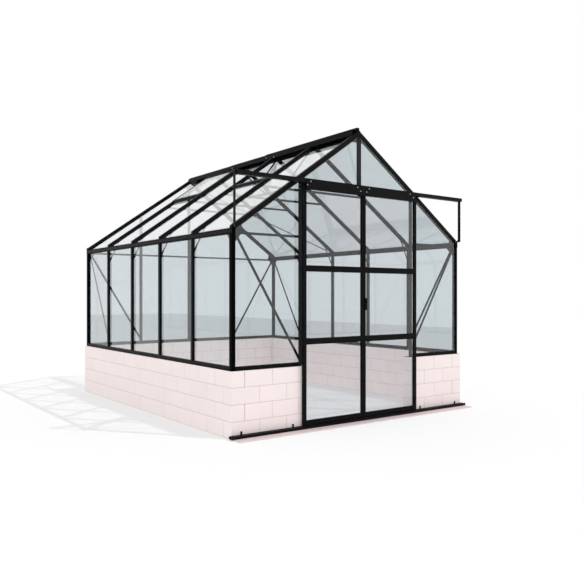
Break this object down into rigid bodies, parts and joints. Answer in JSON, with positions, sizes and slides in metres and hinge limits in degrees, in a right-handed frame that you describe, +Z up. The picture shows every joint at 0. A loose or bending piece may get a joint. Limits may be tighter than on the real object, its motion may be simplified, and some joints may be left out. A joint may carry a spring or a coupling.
{
  "type": "glass greenhouse",
  "caption": "Gable-roofed glasshouse with a slim dark metal frame on a low brick wall, entered through a pair of sliding doors hung from a header track.",
  "frame": {"origin": "centre of the footprint at ground level", "axes": "+Z up, +Y along the ridge towards the back gable, so the door gable faces -Y; +X to the right of someone facing the back gable"},
  "size_m": [2.65, 3.315, 2.5308],
  "materials": {
    "brick": "matt",
    "door_frame": "satin powder coat",
    "door_glass": "clear",
    "fitting": "brushed",
    "frame": "satin powder coat",
    "roof_glass": "clear",
    "threshold": "matt",
    "wall_glass": "clear"
  },
  "bodies": {
    "building": {"apex_gussets": "frame", "bottom_track": "frame", "collar_ties": "frame", "corner_posts": "frame", "eave_end_plates": "frame", "eave_rail_left": "frame", "eave_rail_right": "frame", "gable_braces": "frame", "gable_gussets": "frame", "gable_posts_back": "frame", "gable_posts_front": "frame", "gable_rafters_back": "frame", "gable_rafters_front": "frame", "gable_ties": "frame", "glass_back": "wall_glass", "glass_front": "wall_glass", "glass_left": "wall_glass", "glass_right": "wall_glass", "glass_roof_left": "roof_glass", "glass_roof_right": "roof_glass", "header_beam": "frame", "header_fascia": "frame", "header_lugs": "frame", "knee_braces": "frame", "open_vent_frame": "frame", "open_vent_glass": "roof_glass", "open_vent_stay": "frame", "rafters_left": "frame", "rafters_right": "frame", "ridge_beam": "frame", "ridge_caps": "frame", "roof_brace": "frame", "shut_vent_frame": "frame", "shut_vent_glass": "roof_glass", "side_braces": "frame", "side_gussets": "frame", "side_posts_left": "frame", "side_posts_right": "frame", "sill_rails": "frame", "threshold": "threshold", "top_track": "frame", "top_track_lips": "frame", "top_track_sides": "frame", "track_clips": "frame", "track_legs": "frame", "vent_transoms": "frame", "wall_back": "brick", "wall_front_left": "brick", "wall_front_right": "brick", "wall_left": "brick", "wall_right": "brick"},
    "left_door": {"left_door_frame": "door_frame", "left_door_glass": "door_glass", "left_door_rollers": "fitting"},
    "right_door": {"right_door_frame": "door_frame", "right_door_glass": "door_glass", "right_door_handle": "door_frame", "right_door_rollers": "fitting"}
  },
  "joints": [
    {"name": "left_door_slide", "type": "slide", "parent": "building", "child": "left_door", "axis": [-1, 0, 0], "range_m": [0, 0.6]},
    {"name": "right_door_slide", "type": "slide", "parent": "building", "child": "right_door", "axis": [1, 0, 0], "range_m": [0, 0.6]}
  ]
}
